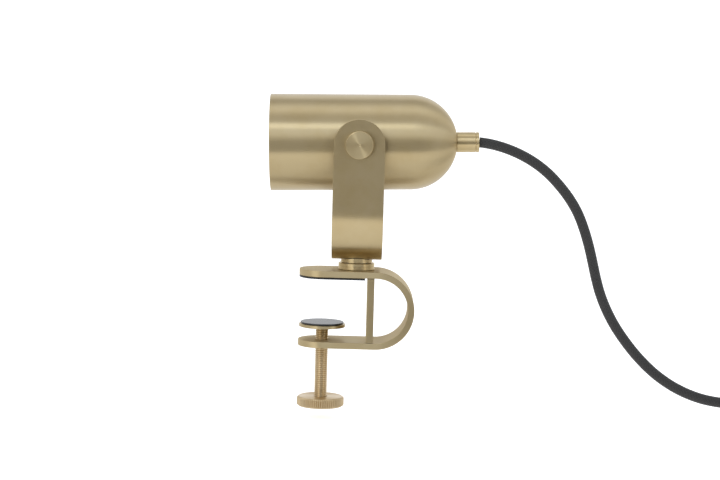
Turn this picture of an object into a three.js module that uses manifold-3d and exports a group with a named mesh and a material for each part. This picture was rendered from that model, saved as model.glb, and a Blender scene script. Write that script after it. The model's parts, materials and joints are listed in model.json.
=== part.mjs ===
// Clip-on reading lamp: a brass spotlight in a U-bracket that swivels on a screw clamp, with its cord.
// Units are millimetres and +Z is up. The shade's mouth points along -X.
// The origin is the middle of the upper jaw pad's underside, on the clamp screw's axis.
import * as THREE from "three";
import { mergeVertices } from "three/addons/utils/BufferGeometryUtils.js";
import Module from "manifold-3d";

const wasm = await Module();
wasm.setup();

// ---- driving dimensions ----
const GAP = 0.3; // clearance between neighbouring pieces
const REACH = 60; // longer than any piece is deep, for the cutters
const THREAD_R = 1.5; // the small M3 screws

// sides of a round piece, by its size
const TINY_SIDES = 12;
const HOLE_SIDES = 16;
const ROUND_SIDES = 20;
const FINE_SIDES = 24;
const DISC_SIDES = 32;
const SHADE_SIDES = 40;
const BEND_SIDES = 52;
const CORD_SIDES = 8;

// clamp
const BAR = 4; // thickness of the flat brass bar
const JAW_HALF_WIDTH = 15;
const THROAT = 40.4; // between the inner faces of the two jaws
const PAD_THICKNESS = 0.95;
const BEND_X = 33; // centre of the clamp's round back
const UPPER_INNER_Z = PAD_THICKNESS + GAP;
const LOWER_INNER_Z = UPPER_INNER_Z - THROAT;
const BEND_Z = (UPPER_INNER_Z + LOWER_INNER_Z) / 2;
const UPPER_OUTER_Z = UPPER_INNER_Z + BAR;
const PLATE_X = [27.5, 32]; // back plate between the jaws
const PAD_END_X = 26.1;

// clamp screw and pressure disc
const SPINDLE_R = 4;
const PRESSURE_TOP_Z = -28.2;
const DISC_R = 14.6;
const DISC_THICKNESS = 1.8;
const DISC_TOP_Z = PRESSURE_TOP_Z - PAD_THICKNESS - GAP;
const SPINDLE_TOP_Z = DISC_TOP_Z - DISC_THICKNESS - GAP;
const RIVET_R = 2.2;
const KNOB_R = 14.8;
const KNOB_TOP_Z = -75.5;
const KNOB_THICKNESS = 6;
const KNURLS = 50;
const FLOOR_Z = KNOB_TOP_Z - KNOB_THICKNESS; // the level that the cord comes down to

// swivel
const SWIVEL_X = 20.5;
const COLLAR_R = 11.3;
const COLLAR_Z = [UPPER_OUTER_Z + GAP, 9.55];
const BOSS_R = 9.85;
const BOLT_R = 3;
const BOLT_END_Z = 20.3;
const SADDLE_TOP_Z = 15;

// U-bracket
const PIVOT_Z = 84.7;
const BRACKET_OUTER_R = 33;
const BRACKET_WALL = 2;
const BRACKET_HALF_WIDTH = 15.6;
const BRACKET_BEND_Z = PIVOT_Z - 40;

// shade, along its own axis from the pivot: u is negative towards the mouth
const HEAD_TILT = THREE.MathUtils.degToRad(1.5); // mouth down, as stored
const MOUTH_U = -55.1;
const MOUTH_R = 30;
const DOME_U = 31.25; // centre of the dome
const DOME_R = 29.45;
const SHADE_WALL = 1;
const GLAND_R = 6.3;
const GLAND_U = [60.2, 74];
const GLAND_THREAD_R = 4.8;
const PIVOT_SHANK_R = 2.5;
const PIVOT_HEAD_R = 8.4;
const PIVOT_HEAD_THICKNESS = 2.9;

// lampholder and bulb, along the shade's axis
const BULB_FRONT_U = -47;
const BULB_R = 25;
const BULB_NECK_U = -13;
const BULB_BASE_U = 0;
const HOLDER_U = [GAP, 18.3];
const HOLDER_R = 13.5;
const BRIDGE_U = HOLDER_U[1] + GAP;
const BRIDGE_WALL = 1.2;
const BRIDGE_HALF_SPAN = 27.6;
const BLOCK_U = [32, 44];
const PIN_SPREAD = 5; // half the distance between the bulb's two pins
const HOLDER_SCREW_Z = 8.5;
const LEAD_R = 1.1;

// cord and what is on it
const CORD_R = 3.2;
const SWITCH_SIZE = [60, 26, 19];
const SWITCH_TURN = THREE.MathUtils.degToRad(-12);
const SWITCH_START = [262, -10.1];
const COIL_CENTRE = [379, 11.7];
const COIL_MEAN_R = 35;
const COIL_LAYERS = 2;
const COIL_TURNS_A_LAYER = 3.3;
const TIE_THICKNESS = 1.1;
const PLUG_TURN = THREE.MathUtils.degToRad(200);
const PLUG_START = [334.3, 44];
const PLUG_HALF_HEIGHT = 7;

const COIL_HALF_WIDTH = ((COIL_TURNS_A_LAYER + 1) * 2 * CORD_R) / 2;
const COIL_INNER_R = COIL_MEAN_R - COIL_HALF_WIDTH;
const COIL_OUTER_R = COIL_MEAN_R + COIL_HALF_WIDTH;
const COIL_BOTTOM_Z = FLOOR_Z + TIE_THICKNESS + GAP;
const COIL_TOP_Z = COIL_BOTTOM_Z + COIL_LAYERS * 2 * CORD_R;
const SWITCH_Z = FLOOR_Z + SWITCH_SIZE[2] / 2;
const PLUG_Z = FLOOR_Z + PLUG_HALF_HEIGHT;

// The cord's middle line from the gland down to the switch, chosen by hand.
const LEAD_ROUTE = [
  [94.8, 0, 86.6], [99.2, 0, 86.1], [106.7, 0, 84.6], [114.2, 0, 82.3], [121.8, 0, 79.1],
  [129.4, 0, 74.9], [137.1, 0, 69.3], [144.8, 0, 61.8], [151.6, 0, 53.6], [157.3, 0, 44.5],
  [161.6, 0, 34.6], [164.9, 0, 24.7], [167.6, 0, 14.7], [170.1, 0, 4.7], [173.1, 0, -5.3],
  [177.3, 0, -15.3], [182.8, 0, -25.3], [190, -0.2, -35.5], [199, -0.7, -46], [210, -1.7, -56],
  [223, -3.2, -64.2], [238, -5.4, -69.8], [252, -8, -71.8], [261.7, -10, -72],
];
// From the switch to the coil, and from the coil to the plug.
const MIDDLE_ROUTE = [
  [321, -22.7, -72], [329, -24.3, -72.9], [337, -26, -74.2], [344.4, -27.5, -75.4],
];
const TAIL_ROUTE = [
  [339.2, 45.8, -73.6], [337, 45, -74.3], [334.8, 44.2, -74.5],
];

// ---- materials ----
const material = (color, roughness, metalness) =>
  new THREE.MeshStandardMaterial({ color, roughness, metalness });
const BRASS = material(0xb5a078, 0.34, 1);
const TURNED_BRASS = material(0xbd9f72, 0.28, 1);
const BRONZE = material(0xb08b5c, 0.32, 1);
const STEEL = material(0xa9abad, 0.35, 1);
const RUBBER = material(0x1b1b1b, 0.85, 0);
const NYLON = material(0xe6e2d6, 0.5, 0);
const CERAMIC = material(0xefece4, 0.35, 0);
const GLASS = material(0xdfe6e8, 0.08, 0);
const MIRROR = material(0xd6d8da, 0.12, 1);
const TEXTILE = material(0x222324, 0.9, 0);
const PLASTIC = material(0x1d1d1f, 0.45, 0);
const BROWN_WIRE = material(0x5a3420, 0.5, 0);
const BLUE_WIRE = material(0x2e5fa3, 0.5, 0);

// ---- solids ----
function solidOf(geometry) {
  const loose = geometry.index ? geometry.toNonIndexed() : geometry;
  const bare = new THREE.BufferGeometry();
  bare.setAttribute("position", loose.getAttribute("position"));
  const merged = mergeVertices(bare, 1e-4);
  return new wasm.Manifold(
    new wasm.Mesh({
      numProp: 3,
      vertProperties: merged.getAttribute("position").array,
      triVerts: new Uint32Array(merged.index.array),
    }),
  );
}

function geometryOf(solid) {
  const mesh = solid.getMesh();
  const geometry = new THREE.BufferGeometry();
  geometry.setAttribute("position", new THREE.BufferAttribute(mesh.vertProperties, 3));
  geometry.setIndex(new THREE.BufferAttribute(mesh.triVerts, 1));
  geometry.computeVertexNormals();
  return geometry;
}

// A profile of [radius, height] points, turned about Z. It runs up the outside.
const lathe = (profile, segments = ROUND_SIDES) =>
  new THREE.LatheGeometry(
    profile.map(([r, h]) => new THREE.Vector2(r, h)),
    segments,
  ).rotateX(Math.PI / 2);

const turned = (profile, segments) => solidOf(lathe(profile, segments));
const turnedAboutX = (profile, segments) => solidOf(lathe(profile, segments).rotateY(Math.PI / 2));

const rod = (r, low, high) => [[0, low], [r, low], [r, high], [0, high]];
const drill = (r, sides = HOLE_SIDES) => turned(rod(r, -REACH, REACH), sides);
const drillAlongX = (r, sides = HOLE_SIDES) => turnedAboutX(rod(r, -REACH, REACH), sides);
const drillAlongY = (r, sides = HOLE_SIDES) => drill(r, sides).rotate([90, 0, 0]);
const ring = (inner, outer, low, high) => [
  [inner, low], [outer, low], [outer, high], [inner, high], [inner, low],
];

const box = (low, high) =>
  solidOf(
    new THREE.BoxGeometry(high[0] - low[0], high[1] - low[1], high[2] - low[2]).translate(
      (low[0] + high[0]) / 2,
      (low[1] + high[1]) / 2,
      (low[2] + high[2]) / 2,
    ),
  );

// A flat outline, given thickness from low to high along one axis.
function slab(shape, low, high, axis = "z", curveSegments = 24) {
  const geometry = new THREE.ExtrudeGeometry(shape, {
    depth: high - low,
    bevelEnabled: false,
    curveSegments,
  }).translate(0, 0, low);
  const across = new THREE.Vector3(1, 0, 0);
  const along = new THREE.Vector3(0, 1, 0);
  const up = new THREE.Vector3(0, 0, 1);
  // the outline lies in (y, z) for axis x, in (x, z) for axis y and in (x, y) for axis z
  if (axis === "x") geometry.applyMatrix4(new THREE.Matrix4().makeBasis(along, up, across));
  if (axis === "y") geometry.applyMatrix4(new THREE.Matrix4().makeBasis(across, up, along.negate()));
  return solidOf(geometry);
}

function hexagon(acrossFlats) {
  const corner = acrossFlats / Math.sqrt(3);
  const points = Array.from({ length: 6 }, (_, i) => {
    const angle = (i * Math.PI) / 3;
    return new THREE.Vector2(corner * Math.cos(angle), corner * Math.sin(angle));
  });
  return new THREE.Shape(points);
}

// A rectangle with rounded corners, centred on the origin.
function roundedRectangle(width, height, radius) {
  const [x, y] = [width / 2 - radius, height / 2 - radius];
  const shape = new THREE.Shape();
  shape.absarc(x, y, radius, 0, Math.PI / 2);
  shape.absarc(-x, y, radius, Math.PI / 2, Math.PI);
  shape.absarc(-x, -y, radius, Math.PI, 1.5 * Math.PI);
  shape.absarc(x, -y, radius, 1.5 * Math.PI, 2 * Math.PI);
  return shape;
}

// A round tube along a smooth line through the points.
function tube(points, radius, steps, sides) {
  const corners = Array.from({ length: sides }, (_, i) => {
    const angle = (2 * Math.PI * i) / sides;
    return new THREE.Vector2(radius * Math.cos(angle), radius * Math.sin(angle));
  });
  const path = new THREE.CatmullRomCurve3(points.map((p) => new THREE.Vector3(...p)));
  return new THREE.ExtrudeGeometry(new THREE.Shape(corners), { steps, extrudePath: path });
}

// Names a piece and hangs it in a group.
function add(group, name, piece, look) {
  const geometry = piece.isBufferGeometry ? piece : geometryOf(piece);
  const mesh = new THREE.Mesh(geometry, look);
  mesh.name = name;
  group.add(mesh);
  return mesh;
}

// ---- clamp ----
function clampStrap() {
  const reach = BEND_X + THROAT / 2 + BAR + 2;
  const outline = new THREE.Shape();
  const [outer, inner] = [THROAT / 2 + BAR, THROAT / 2];
  outline.absarc(BEND_X, BEND_Z, outer, -Math.PI / 2, Math.PI / 2);
  outline.lineTo(-JAW_HALF_WIDTH, BEND_Z + outer);
  outline.lineTo(-JAW_HALF_WIDTH, BEND_Z + inner);
  outline.absarc(BEND_X, BEND_Z, inner, Math.PI / 2, -Math.PI / 2, true);
  outline.lineTo(-JAW_HALF_WIDTH, BEND_Z - inner);
  outline.lineTo(-JAW_HALF_WIDTH, BEND_Z - outer);
  const countersunk = turned([
    [0, UPPER_INNER_Z - 1],
    [6.2, UPPER_INNER_Z - 1],
    [6.2, UPPER_INNER_Z],
    [BOLT_R + GAP, UPPER_INNER_Z + 3.2],
    [BOLT_R + GAP, UPPER_OUTER_Z + 1],
    [0, UPPER_OUTER_Z + 1],
  ]).translate([SWIVEL_X, 0, 0]);
  const screwHole = turned(rod(SPINDLE_R + GAP, LOWER_INNER_Z - BAR - 1, LOWER_INNER_Z + 1));
  return slab(outline, -JAW_HALF_WIDTH, JAW_HALF_WIDTH, "y")
    .intersect(slab(jawPlan(reach), BEND_Z - outer - 1, BEND_Z + outer + 1))
    .subtract(countersunk)
    .subtract(screwHole);
}

// Seen from above: full-round at the screw's end, square at the other.
function jawPlan(end) {
  const plan = new THREE.Shape();
  plan.absarc(0, 0, JAW_HALF_WIDTH, Math.PI / 2, 1.5 * Math.PI);
  plan.lineTo(end, -JAW_HALF_WIDTH);
  plan.lineTo(end, JAW_HALF_WIDTH);
  return plan;
}

function addClamp(group) {
  add(group, "clamp_strap", clampStrap(), BRASS);
  const plateLow = [PLATE_X[0], -JAW_HALF_WIDTH, LOWER_INNER_Z + GAP];
  const plateHigh = [PLATE_X[1], JAW_HALF_WIDTH, UPPER_INNER_Z - GAP];
  add(group, "back_plate", box(plateLow, plateHigh), BRASS);
  add(group, "upper_jaw_pad", slab(jawPlan(PAD_END_X), 0, PAD_THICKNESS), RUBBER);
}

// ---- clamp screw ----
function addPressurePad(group) {
  const low = DISC_TOP_Z - DISC_THICKNESS;
  const disc = turned(
    [
      [RIVET_R + GAP, low],
      [DISC_R - 0.3, low],
      [DISC_R, low + 0.3],
      [DISC_R, DISC_TOP_Z - 0.3],
      [DISC_R - 0.3, DISC_TOP_Z],
      [4.3, DISC_TOP_Z],
      [RIVET_R + GAP, DISC_TOP_Z - 1],
      [RIVET_R + GAP, low],
    ],
    DISC_SIDES,
  );
  add(group, "pressure_disc", disc, BRASS);
  const padBottom = PRESSURE_TOP_Z - PAD_THICKNESS;
  const pad = turned(rod(DISC_R - 1.1, padBottom, PRESSURE_TOP_Z), DISC_SIDES);
  add(group, "pressure_pad", pad, RUBBER);
  const rivet = turned([
    [0, low - 7],
    [RIVET_R, low - 7],
    [RIVET_R, DISC_TOP_Z - 1],
    [3.6, DISC_TOP_Z - 0.1],
    [0, DISC_TOP_Z - 0.1],
  ]);
  add(group, "disc_rivet", rivet, BRASS);
}

function knob() {
  const points = Array.from({ length: 2 * KNURLS }, (_, i) => {
    const angle = (i * Math.PI) / KNURLS;
    const r = i % 2 ? KNOB_R : KNOB_R - 0.35;
    return new THREE.Vector2(r * Math.cos(angle), r * Math.sin(angle));
  });
  const chamfer = 0.6;
  const blank = turned(
    [
      [SPINDLE_R + GAP, FLOOR_Z],
      [KNOB_R - chamfer, FLOOR_Z],
      [KNOB_R, FLOOR_Z + chamfer],
      [KNOB_R, KNOB_TOP_Z - chamfer],
      [KNOB_R - chamfer, KNOB_TOP_Z],
      [SPINDLE_R + GAP, KNOB_TOP_Z],
      [SPINDLE_R + GAP, FLOOR_Z],
    ],
    KNURLS,
  );
  return slab(new THREE.Shape(points), FLOOR_Z - 1, KNOB_TOP_Z + 1).intersect(blank);
}

function addScrew(group) {
  const bore = turned(rod(RIVET_R + GAP, SPINDLE_TOP_Z - 8, SPINDLE_TOP_Z + 1), HOLE_SIDES);
  const spindle = turned(rod(SPINDLE_R, FLOOR_Z + GAP, SPINDLE_TOP_Z)).subtract(bore);
  add(group, "clamp_spindle", spindle, BRONZE);
  add(group, "clamp_knob", knob(), BRONZE);
}

// ---- swivel ----
function addSwivelBase(group) {
  const washerSeat = COLLAR_Z[1] - 1.1;
  const collar = turned([
    [BOLT_R + GAP, COLLAR_Z[0]],
    [COLLAR_R, COLLAR_Z[0]],
    [COLLAR_R, COLLAR_Z[1] - 0.4],
    [COLLAR_R - 0.4, COLLAR_Z[1]],
    [8.3, COLLAR_Z[1]],
    [8.3, washerSeat],
    [BOLT_R + GAP, washerSeat],
    [BOLT_R + GAP, COLLAR_Z[0]],
  ]);
  add(group, "swivel_collar", collar, TURNED_BRASS);
  const washer = turned(ring(BOLT_R + GAP, 8, washerSeat + GAP, COLLAR_Z[1]));
  add(group, "swivel_washer", washer, NYLON);
  const bolt = turned(
    [
      [0, UPPER_INNER_Z + 0.05],
      [5.8, UPPER_INNER_Z + 0.05],
      [BOLT_R, UPPER_INNER_Z + 2.9],
      [BOLT_R, BOLT_END_Z - 0.5],
      [BOLT_R - 0.5, BOLT_END_Z],
      [0, BOLT_END_Z],
    ],
    FINE_SIDES,
  );
  add(group, "swivel_bolt", bolt, STEEL);
  const nutZ = SADDLE_TOP_Z + GAP;
  const nut = slab(hexagon(10), nutZ, nutZ + 4).subtract(drill(BOLT_R + GAP));
  add(group, "swivel_nut", nut, STEEL);
}

function bendCylinder(radius) {
  return drillAlongX(radius, BEND_SIDES).translate([0, 0, BRACKET_BEND_Z]);
}

function addSwivelBoss(group) {
  const boss = turned(ring(BOLT_R + GAP, BOSS_R, COLLAR_Z[1] + GAP, 16)).subtract(
    bendCylinder(BRACKET_OUTER_R + GAP),
  );
  add(group, "swivel_boss", boss, TURNED_BRASS);
  const saddle = turned(ring(BOLT_R + GAP, 7, 13, SADDLE_TOP_Z)).intersect(
    bendCylinder(BRACKET_OUTER_R - BRACKET_WALL - GAP),
  );
  add(group, "saddle_washer", saddle, STEEL);
}

// ---- U-bracket ----
function uBracket() {
  const side = new THREE.Shape();
  const top = PIVOT_Z + BRACKET_HALF_WIDTH;
  const [outer, inner] = [BRACKET_OUTER_R, BRACKET_OUTER_R - BRACKET_WALL];
  side.absarc(0, BRACKET_BEND_Z, outer, Math.PI, 2 * Math.PI);
  side.lineTo(outer, top);
  side.lineTo(inner, top);
  side.absarc(0, BRACKET_BEND_Z, inner, 2 * Math.PI, Math.PI, true);
  side.lineTo(-inner, top);
  side.lineTo(-outer, top);
  const front = new THREE.Shape();
  front.moveTo(-BRACKET_HALF_WIDTH, 0);
  front.lineTo(BRACKET_HALF_WIDTH, 0);
  front.absarc(0, PIVOT_Z, BRACKET_HALF_WIDTH, 0, Math.PI);
  return slab(side, -BRACKET_HALF_WIDTH, BRACKET_HALF_WIDTH, "x", BEND_SIDES / 2)
    .intersect(slab(front, -REACH, REACH, "y", FINE_SIDES))
    .subtract(drillAlongY(PIVOT_SHANK_R + GAP).translate([0, 0, PIVOT_Z]))
    .subtract(drill(BOLT_R + GAP));
}

// ---- shade and what it carries ----
function shadeProfile() {
  const arc = (radius, from, to, steps) =>
    Array.from({ length: steps + 1 }, (_, i) => {
      const angle = from + ((to - from) * i) / steps;
      return [radius * Math.cos(angle), DOME_U + radius * Math.sin(angle)];
    });
  const boreR = GLAND_THREAD_R + GAP;
  const inner = DOME_R - SHADE_WALL;
  const flatOuter = Math.acos(GLAND_R / DOME_R);
  const flatInner = Math.acos(8 / inner);
  return [
    [MOUTH_R - SHADE_WALL, MOUTH_U],
    [MOUTH_R, MOUTH_U],
    ...arc(DOME_R, 0, flatOuter, 9),
    [boreR, DOME_U + DOME_R * Math.sin(flatOuter)],
    [boreR, DOME_U + inner * Math.sin(flatInner)],
    ...arc(inner, flatInner, 0, 6),
    [MOUTH_R - SHADE_WALL, MOUTH_U],
  ];
}

function shade() {
  return turnedAboutX(shadeProfile(), SHADE_SIDES).subtract(drillAlongY(PIVOT_SHANK_R + GAP));
}

// Turns a piece made along +Z to point out of the front (-Y) or the back (+Y) arm.
const outward = (solid, side) => solid.rotate([side === "front" ? 90 : -90, 0, 0]);

function addPivot(group, side) {
  const under = BRACKET_OUTER_R + GAP;
  const top = under + PIVOT_HEAD_THICKNESS;
  const legInner = BRIDGE_HALF_SPAN - BRIDGE_WALL;
  const nutHigh = legInner - GAP;
  const screw = turned([
    [0, nutHigh - 5],
    [PIVOT_SHANK_R, nutHigh - 5],
    [PIVOT_SHANK_R, under],
    [PIVOT_HEAD_R, under],
    [PIVOT_HEAD_R, top - 0.6],
    [PIVOT_HEAD_R - 0.6, top],
    [0, top],
  ]);
  add(group, `pivot_screw_${side}`, outward(screw, side), TURNED_BRASS);
  const armInner = BRACKET_OUTER_R - BRACKET_WALL;
  const washer = turned(ring(PIVOT_SHANK_R + GAP, 6, armInner - GAP - 0.6, armInner - GAP));
  add(group, `pivot_washer_${side}`, outward(washer, side), NYLON);
  const nut = slab(hexagon(8), nutHigh - 4, nutHigh).subtract(drill(PIVOT_SHANK_R + GAP));
  add(group, `pivot_nut_${side}`, outward(nut, side), STEEL);
}

function addGland(group) {
  const [start, end] = GLAND_U;
  const inside = DOME_U + (DOME_R - SHADE_WALL) - 5;
  const bore = CORD_R + GAP;
  const body = turnedAboutX([
    [bore, inside],
    [GLAND_THREAD_R, inside],
    [GLAND_THREAD_R, start],
    [GLAND_R, start],
    [GLAND_R, end - 2.2],
    [GLAND_R - 0.25, end - 2],
    [GLAND_R, end - 1.8],
    [GLAND_R, end - 0.6],
    [GLAND_R - 0.6, end],
    [bore, end],
    [bore, inside],
  ]);
  const mid = (start + end) / 2;
  const tapped = turned(rod(THREAD_R + GAP, -GLAND_R - 1, 0), HOLE_SIDES);
  add(group, "cord_gland", body.subtract(tapped.translate([mid, 0, 0])), TURNED_BRASS);
  const grub = turned(rod(THREAD_R, -GLAND_R + 0.2, -bore - 0.1), HOLE_SIDES);
  add(group, "grip_screw", grub.translate([mid, 0, 0]), STEEL);
  const nut = slab(hexagon(13.5), inside + 0.8, inside + 3.8)
    .rotate([0, 90, 0])
    .subtract(drillAlongX(GLAND_THREAD_R + GAP));
  add(group, "gland_nut", nut, STEEL);
}

function addBulb(group) {
  const reflector = turnedAboutX(
    [
      [BULB_R - 1.4, BULB_FRONT_U + 3],
      [BULB_R, BULB_FRONT_U + 3],
      [BULB_R, BULB_FRONT_U + 7],
      [23.6, BULB_FRONT_U + 13],
      [20.4, BULB_FRONT_U + 20],
      [15.6, BULB_FRONT_U + 27],
      [12, BULB_NECK_U - GAP],
      [0, BULB_NECK_U - GAP],
      [0, BULB_NECK_U - 2],
      [10.5, BULB_NECK_U - 2],
      [14.2, BULB_FRONT_U + 26],
      [19, BULB_FRONT_U + 19],
      [22.2, BULB_FRONT_U + 12],
      [BULB_R - 1.4, BULB_FRONT_U + 7],
      [BULB_R - 1.4, BULB_FRONT_U + 3],
    ],
    FINE_SIDES,
  );
  add(group, "bulb_reflector", reflector, MIRROR);
  const lens = turnedAboutX(
    [
      [0, BULB_FRONT_U],
      [20, BULB_FRONT_U + 0.3],
      [BULB_R - 0.5, BULB_FRONT_U + 1.2],
      [BULB_R, BULB_FRONT_U + 2.7],
      [0, BULB_FRONT_U + 2.7],
    ],
    FINE_SIDES,
  );
  add(group, "bulb_lens", lens, GLASS);
  let base = turnedAboutX([
    [0, BULB_NECK_U],
    [12, BULB_NECK_U],
    [11.5, BULB_BASE_U - 3],
    [10, BULB_BASE_U],
    [0, BULB_BASE_U],
  ]);
  for (const y of [-PIN_SPREAD, PIN_SPREAD]) {
    const pin = turnedAboutX(
      [[0, BULB_BASE_U - 1], [1.5, BULB_BASE_U - 1], [1.5, 4.5], [2.5, 4.5], [2.5, 6.5], [0, 6.5]],
      HOLE_SIDES,
    );
    base = base.add(pin.translate([0, y, 0]));
  }
  add(group, "bulb_base", base, CERAMIC);
}

function addLampholder(group) {
  const [front, back] = HOLDER_U;
  let body = turnedAboutX([
    [0, front],
    [HOLDER_R - 1, front],
    [HOLDER_R, front + 1],
    [HOLDER_R, back],
    [0, back],
  ]);
  for (const y of [-PIN_SPREAD, PIN_SPREAD]) {
    const slot = turnedAboutX(rod(2.5 + GAP, front - 1, 9), HOLE_SIDES);
    const wireway = turnedAboutX(rod(LEAD_R + GAP, 8, back + 1), TINY_SIDES);
    body = body.subtract(slot.translate([0, y, 0])).subtract(wireway.translate([0, y, 0]));
  }
  for (const z of [-HOLDER_SCREW_Z, HOLDER_SCREW_Z]) {
    const thread = turnedAboutX(rod(THREAD_R + GAP, back - 6, back + 1), TINY_SIDES);
    body = body.subtract(thread.translate([0, 0, z]));
  }
  add(group, "lampholder", body, CERAMIC);
  // spring contacts at the bottom of the two slots
  [["left", -PIN_SPREAD], ["right", PIN_SPREAD]].forEach(([side, y]) => {
    const contact = turnedAboutX(ring(LEAD_R + GAP, 2.3, 7.4, 8.7), HOLE_SIDES);
    add(group, `holder_contact_${side}`, contact.translate([0, y, 0]), TURNED_BRASS);
  });
  for (const [side, z] of [["lower", -HOLDER_SCREW_Z], ["upper", HOLDER_SCREW_Z]]) {
    const head = BRIDGE_U + BRIDGE_WALL + GAP;
    const screw = turnedAboutX([
      [0, back - 5],
      [THREAD_R, back - 5],
      [THREAD_R, head],
      [2.8, head],
      [2.8, head + 1.2],
      [1.8, head + 2],
      [0, head + 2],
    ]);
    add(group, `holder_screw_${side}`, screw.translate([0, 0, z]), STEEL);
  }
}

// A steel strip across the shade, held by the two pivot screws, which carries the lampholder.
function addBridge(group) {
  const [legEnd, half] = [-6, BRIDGE_HALF_SPAN];
  const high = BRIDGE_U + BRIDGE_WALL;
  const strip = new THREE.Shape();
  strip.moveTo(legEnd, -half);
  strip.lineTo(high - 3, -half);
  strip.absarc(high - 3, -half + 3, 3, -Math.PI / 2, 0);
  strip.absarc(high - 3, half - 3, 3, 0, Math.PI / 2);
  strip.lineTo(legEnd, half);
  strip.lineTo(legEnd, half - BRIDGE_WALL);
  strip.absarc(high - 3, half - 3, 3 - BRIDGE_WALL, Math.PI / 2, 0, true);
  strip.absarc(high - 3, -half + 3, 3 - BRIDGE_WALL, 0, -Math.PI / 2, true);
  strip.lineTo(legEnd, -half + BRIDGE_WALL);
  let bridge = slab(strip, -5, 5, "z", 5).add(
    box([BRIDGE_U, -11, -11.5], [BRIDGE_U + BRIDGE_WALL, 11, 11.5]),
  );
  bridge = bridge.subtract(drillAlongY(PIVOT_SHANK_R + GAP));
  for (const z of [-HOLDER_SCREW_Z, HOLDER_SCREW_Z]) {
    const hole = drillAlongX(THREAD_R + GAP, TINY_SIDES).translate([0, 0, z]);
    bridge = bridge.subtract(hole);
  }
  for (const y of [-PIN_SPREAD, PIN_SPREAD]) {
    bridge = bridge.subtract(drillAlongX(LEAD_R + 1).translate([0, y, 0]));
  }
  add(group, "holder_bridge", bridge, STEEL);
}

function addWiring(group) {
  const [start, end] = BLOCK_U;
  const wellR = 1.8;
  let block = box([start, -10, -6], [end, 10, 6]);
  for (const y of [-PIN_SPREAD, PIN_SPREAD]) {
    const screwWell = turned(rod(wellR, 1, 7), TINY_SIDES);
    block = block.subtract(drillAlongX(wellR, TINY_SIDES).translate([0, y, 0]));
    block = block.subtract(screwWell.translate([start + 3.5, y, 0]));
    block = block.subtract(screwWell.translate([end - 3.5, y, 0]));
  }
  add(group, "terminal_block", block, NYLON);
  const glandEnd = DOME_U + (DOME_R - SHADE_WALL) - 5;
  [["live", -1, BROWN_WIRE], ["neutral", 1, BLUE_WIRE]].forEach(([name, side, look]) => {
    const y = PIN_SPREAD * side;
    const lead = [[9.5, y, 0], [20, y, 0], [27, y + 1.5 * side, 0], [start + 1.5, y, 0]];
    add(group, `${name}_lead`, tube(lead, LEAD_R, 12, CORD_SIDES), look);
    const [inner, outer] = [1.5 * side, 1.4 * side];
    const core = [
      [end - 1.5, y, 0], [end + 2, y, 0], [glandEnd - 2, inner, 0], [glandEnd + 2, outer, 0],
    ];
    add(group, `${name}_core`, tube(core, LEAD_R, 10, CORD_SIDES), look);
  });
}

function addHead(group) {
  add(group, "shade", shade(), BRASS);
  for (const side of ["front", "back"]) addPivot(group, side);
  addGland(group);
  addBridge(group);
  addLampholder(group);
  addBulb(group);
  addWiring(group);
}

// ---- cord ----
function coilRing() {
  const [low, high, bevel] = [COIL_BOTTOM_Z, COIL_TOP_Z, 2];
  return turned(
    [
      [COIL_INNER_R, low + bevel],
      [COIL_INNER_R + bevel, low],
      [COIL_OUTER_R - bevel, low],
      [COIL_OUTER_R, low + bevel],
      [COIL_OUTER_R, high - bevel],
      [COIL_OUTER_R - bevel, high],
      [COIL_INNER_R + bevel, high],
      [COIL_INNER_R, high - bevel],
      [COIL_INNER_R, low + bevel],
    ],
    DISC_SIDES,
  ).translate([...COIL_CENTRE, 0]);
}

// A band round the coil's section, on the side away from the lamp.
function coilTie() {
  const [near, far] = [COIL_INNER_R - 2 * GAP, COIL_OUTER_R + GAP];
  const height = COIL_TOP_Z - COIL_BOTTOM_Z + 2 * GAP;
  const wall = 2 * TIE_THICKNESS;
  const outline = roundedRectangle(far - near + wall, height + wall, 3);
  const hole = roundedRectangle(far - near, height, 1.5);
  const middle = [COIL_CENTRE[0] + (near + far) / 2, COIL_CENTRE[1]];
  return slab(outline, -4, 4, "y", 4)
    .subtract(slab(hole, -5, 5, "y", 4))
    .translate([...middle, (COIL_BOTTOM_Z + COIL_TOP_Z) / 2]);
}

function addCord(group) {
  add(group, "cord_lead", tube(LEAD_ROUTE, CORD_R, 20, CORD_SIDES), TEXTILE);
  add(group, "cord_middle", tube(MIDDLE_ROUTE, CORD_R, 3, CORD_SIDES), TEXTILE);
  add(group, "cord_tail", tube(TAIL_ROUTE, CORD_R, 2, CORD_SIDES), TEXTILE);
  add(group, "cord_coil", coilRing(), TEXTILE);
  add(group, "coil_tie", coilTie(), RUBBER);
}

// The plug, from its strain relief at x = 0 to the pins' ends along +X.
function addPlug(group) {
  const outline = new THREE.Shape();
  const points = [
    [18, -5], [26, -12], [33, -17.6], [58, -17.6], [60, -15.6],
    [60, 15.6], [58, 17.6], [33, 17.6], [26, 12], [18, 5],
  ];
  points.forEach(([x, y], i) => (i ? outline.lineTo(x, y) : outline.moveTo(x, y)));
  const half = PLUG_HALF_HEIGHT;
  const relief = turnedAboutX([[0, GAP], [4.4, GAP], [5.6, 20], [5.6, 22], [0, 22]], FINE_SIDES);
  const body = slab(outline, -half, half).add(relief);
  add(group, "plug_body", body, PLASTIC);
  for (const [name, y] of [["left", 9.3], ["right", -9.3]]) {
    const pin = turnedAboutX([[0, 60.3], [2, 60.3], [2, 78], [1.2, 79.3], [0, 79.3]], HOLE_SIDES);
    add(group, `plug_pin_${name}`, pin.translate([0, y, 0]), TURNED_BRASS);
  }
}

// The inline switch, along X from x = 0, with its middle at z = 0.
const ROCKER_Z = 5.5;
const ROCKER_TILT = 8; // degrees, pressed down at one end
const SWITCH_CAVITY_Z = 6.5;

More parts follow.
